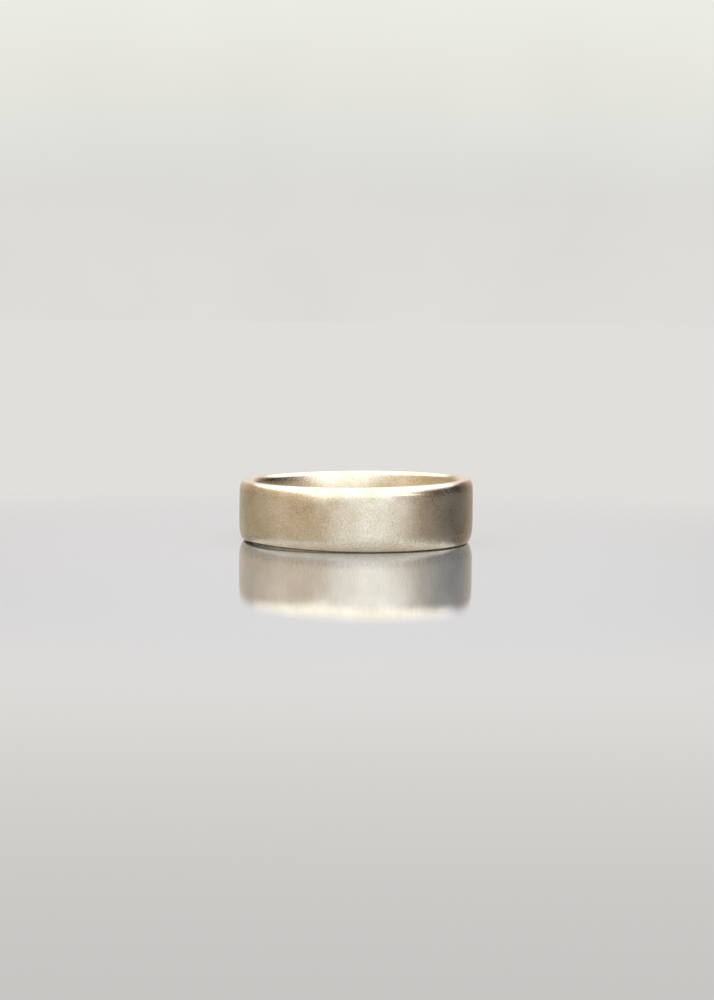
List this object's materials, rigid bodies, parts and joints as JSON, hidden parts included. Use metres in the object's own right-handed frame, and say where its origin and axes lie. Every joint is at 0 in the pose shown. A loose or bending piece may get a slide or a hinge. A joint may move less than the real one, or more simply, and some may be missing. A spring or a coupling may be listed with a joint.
{
  "type": "wedding band",
  "caption": "Plain flat-sided wedding band in matte pale gold, a bent strip closed by a flush solder seam, with hand-softened edges and a round finger hole.",
  "frame": {"origin": "centre of the flat foot edge that the band lies on, on the axis of the finger hole", "axes": "+Z along the finger hole and up from the foot; +X towards the widest place of the band, with the seam on -X"},
  "size_m": [0.0208, 0.0206, 0.0057],
  "materials": {
    "pale_gold": "tumbled matte 14 ct pale yellow gold, very fine grain, edges softly burnished",
    "gold_solder": "hard gold solder, a shade paler than the band, filed flush and matted with it"
  },
  "bodies": {
    "root": {"band_hoop": "pale_gold", "solder_seam": "gold_solder"}
  },
  "joints": []
}
